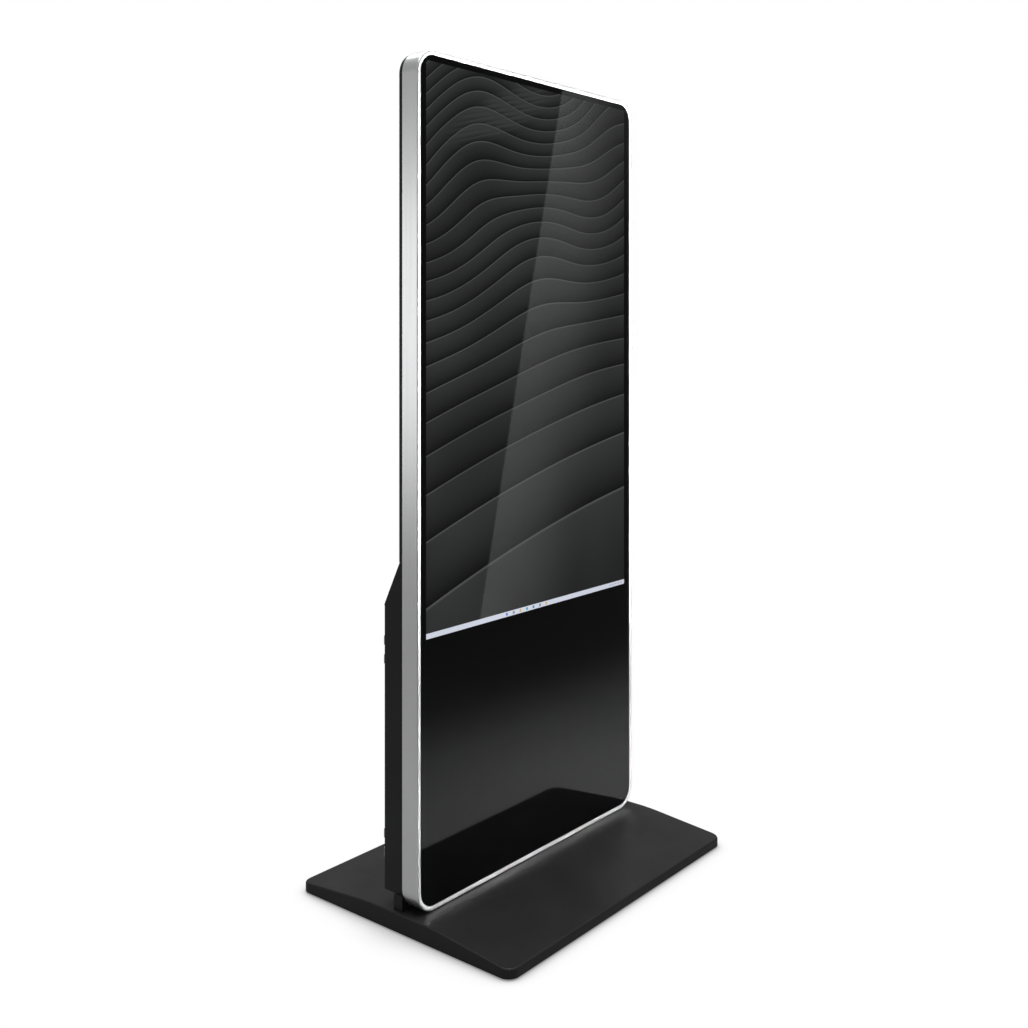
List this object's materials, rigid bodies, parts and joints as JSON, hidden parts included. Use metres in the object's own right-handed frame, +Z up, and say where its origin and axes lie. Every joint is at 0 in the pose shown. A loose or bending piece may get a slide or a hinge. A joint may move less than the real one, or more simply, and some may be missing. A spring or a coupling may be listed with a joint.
{
  "type": "touchscreen kiosk",
  "caption": "Free-standing portrait touchscreen kiosk: glass-fronted display in an aluminium frame, rear housing with service door, and a wide low foot.",
  "frame": {"origin": "on the floor, under the middle of the foot", "axes": "+Z up, +X to the right seen from the front, front glass facing -Y"},
  "size_m": [0.813, 0.609, 1.845],
  "materials": {
    "screen_glass": "polished toughened glass",
    "glass_print": "black ceramic print behind the glass",
    "touch_film": "clear touch film",
    "display_module": "dark display face and steel pan",
    "anodised_frame": "satin anodised",
    "black_sheet": "fine black powder coat",
    "foot_coat": "semi-gloss black coat",
    "zinc_steel": "zinc plated steel",
    "hinge_steel": "plated steel",
    "bright_fittings": "turned bright metal",
    "port_shells": "plated connector shells",
    "black_plastic": "moulded black plastic",
    "red_rocker": "moulded red plastic",
    "player_case": "black finned case",
    "supply_case": "perforated plated case",
    "circuit_board": "green circuit board",
    "lead_jacket": "flexible black jacket",
    "pad_rubber": "moulded rubber"
  },
  "bodies": {
    "kiosk": {"front_glass": "screen_glass", "printed_mask": "glass_print", "touch_sensor": "touch_film", "lcd_panel": "display_module", "lower_backing": "black_sheet", "frame_rail_left": "anodised_frame", "frame_rail_right": "anodised_frame", "frame_rail_top": "anodised_frame", "frame_rail_bottom": "anodised_frame", "frame_corner_bottom_left": "anodised_frame", "frame_corner_bottom_right": "anodised_frame", "frame_corner_top_left": "anodised_frame", "frame_corner_top_right": "anodised_frame", "rear_cover_upper": "black_sheet", "chassis_post_left": "zinc_steel", "chassis_post_right": "zinc_steel", "chassis_upright_left": "zinc_steel", "chassis_upright_right": "zinc_steel", "chassis_cross_middle": "zinc_steel", "chassis_cross_top": "zinc_steel", "equipment_tray": "zinc_steel", "housing_side_left": "black_sheet", "housing_side_right": "black_sheet", "housing_slope": "black_sheet", "housing_floor": "black_sheet", "connector_strip": "black_sheet", "door_hinge_lower": "hinge_steel", "door_hinge_upper": "hinge_steel", "power_inlet": "black_plastic", "lan_port": "port_shells", "usb_port_lower": "port_shells", "usb_port_upper": "port_shells", "rocker_case": "black_plastic", "button_case": "bright_fittings", "media_player": "player_case", "power_supply": "supply_case", "driver_board": "circuit_board", "touch_controller": "circuit_board", "speaker_left": "black_plastic", "speaker_right": "black_plastic", "fan_frame": "black_plastic", "display_lead": "lead_jacket", "supply_lead": "lead_jacket", "base_cover": "foot_coat", "base_plate": "zinc_steel", "ballast_front": "zinc_steel", "ballast_rear": "zinc_steel", "foot_pad_front_left": "pad_rubber", "foot_pad_front_right": "pad_rubber", "foot_pad_rear_left": "pad_rubber", "foot_pad_rear_right": "pad_rubber", "neck_bar": "black_sheet"},
    "door": {"service_door": "black_sheet", "lock_barrel_lower": "bright_fittings", "lock_barrel_upper": "bright_fittings"},
    "lower_lock": {"lock_cam_lower": "bright_fittings"},
    "upper_lock": {"lock_cam_upper": "bright_fittings"},
    "rocker": {"power_rocker": "red_rocker"},
    "button": {"power_button": "bright_fittings"},
    "fan": {"fan_rotor": "black_plastic"}
  },
  "joints": [
    {"name": "door_swing", "type": "hinge", "parent": "kiosk", "child": "door", "pos_m": [-0.37585, 0.0616, 0.375], "axis": [0, 0, 1], "range_deg": [0, 110]},
    {"name": "lower_lock_turn", "type": "hinge", "parent": "door", "child": "lower_lock", "pos_m": [0.188, 0.05, 0.22], "axis": [0, 1, 0], "range_deg": [0, 90]},
    {"name": "upper_lock_turn", "type": "hinge", "parent": "door", "child": "upper_lock", "pos_m": [0.188, 0.05, 0.53], "axis": [0, 1, 0], "range_deg": [0, 90]},
    {"name": "rocker_tip", "type": "hinge", "parent": "kiosk", "child": "rocker", "pos_m": [0.295, 0.0546, 0.19], "axis": [1, 0, 0], "range_deg": [0, 12]},
    {"name": "button_press", "type": "slide", "parent": "kiosk", "child": "button", "axis": [0, -1, 0], "range_m": [0, 0.0015], "stiffness_N_per_m": 400},
    {"name": "fan_spin", "type": "hinge", "parent": "kiosk", "child": "fan", "pos_m": [0.09, 0.0346, 0.59], "axis": [0, 1, 0], "continuous": true}
  ]
}
